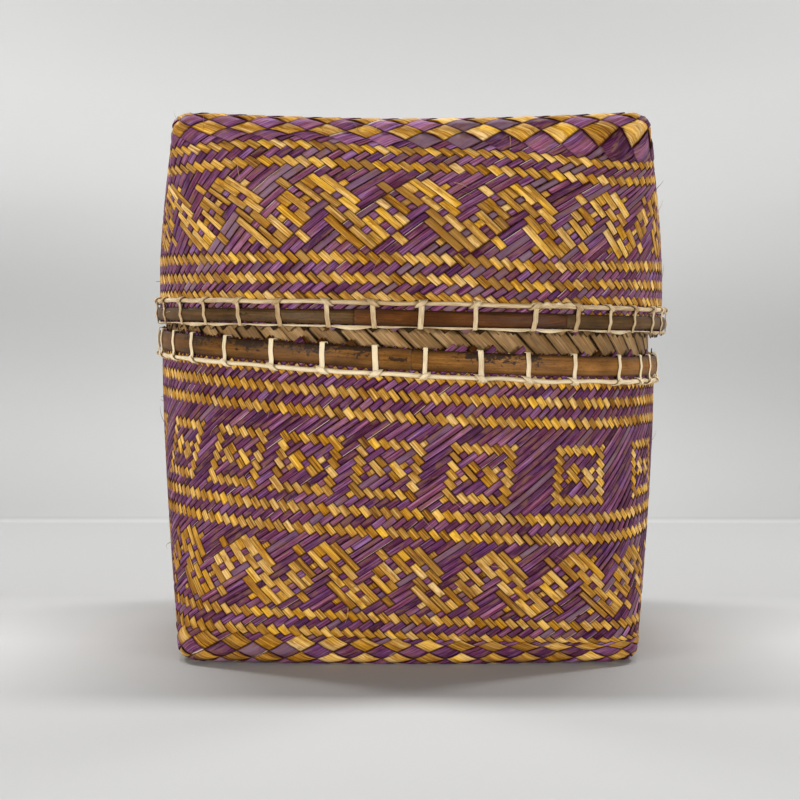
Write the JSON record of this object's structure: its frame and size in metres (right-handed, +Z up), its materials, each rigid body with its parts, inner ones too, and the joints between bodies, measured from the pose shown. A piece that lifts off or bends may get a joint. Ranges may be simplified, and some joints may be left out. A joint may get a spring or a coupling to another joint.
{
  "type": "woven bamboo box",
  "caption": "Lidded woven bamboo box, square at the foot and round at the rim, with a slip-over lid on a lining collar and cane-lashed split-bamboo rim hoops.",
  "frame": {"origin": "middle of the foot, on the plane it rests on", "axes": "+Z up through the lid, front of the box towards -Y"},
  "size_m": [0.2106, 0.2106, 0.2026],
  "materials": {
    "purple_bamboo": "satin",
    "gold_bamboo": "satin",
    "natural_bamboo": "satin",
    "brown_hoop": "satin",
    "grey_hoop": "satin",
    "red_hoop": "satin",
    "pale_cane": "satin"
  },
  "bodies": {
    "base": {"base_outer_weave": "purple_bamboo", "base_lining": "natural_bamboo", "base_hoop": "brown_hoop", "base_running_cane": "pale_cane", "base_lashing_front": "pale_cane", "base_lashing_back": "pale_cane"},
    "lid": {"lid_outer_weave": "purple_bamboo", "lid_lining": "natural_bamboo", "lid_hoop": "grey_hoop", "lid_hoop_splice": "red_hoop", "lid_edge_strip": "pale_cane", "lid_running_cane": "pale_cane", "lid_lashing_front": "pale_cane", "lid_lashing_back": "pale_cane"}
  },
  "joints": [
    {"name": "lid_lift", "type": "slide", "parent": "base", "child": "lid", "axis": [0, 0, 1], "range_m": [0, 0.12]}
  ]
}
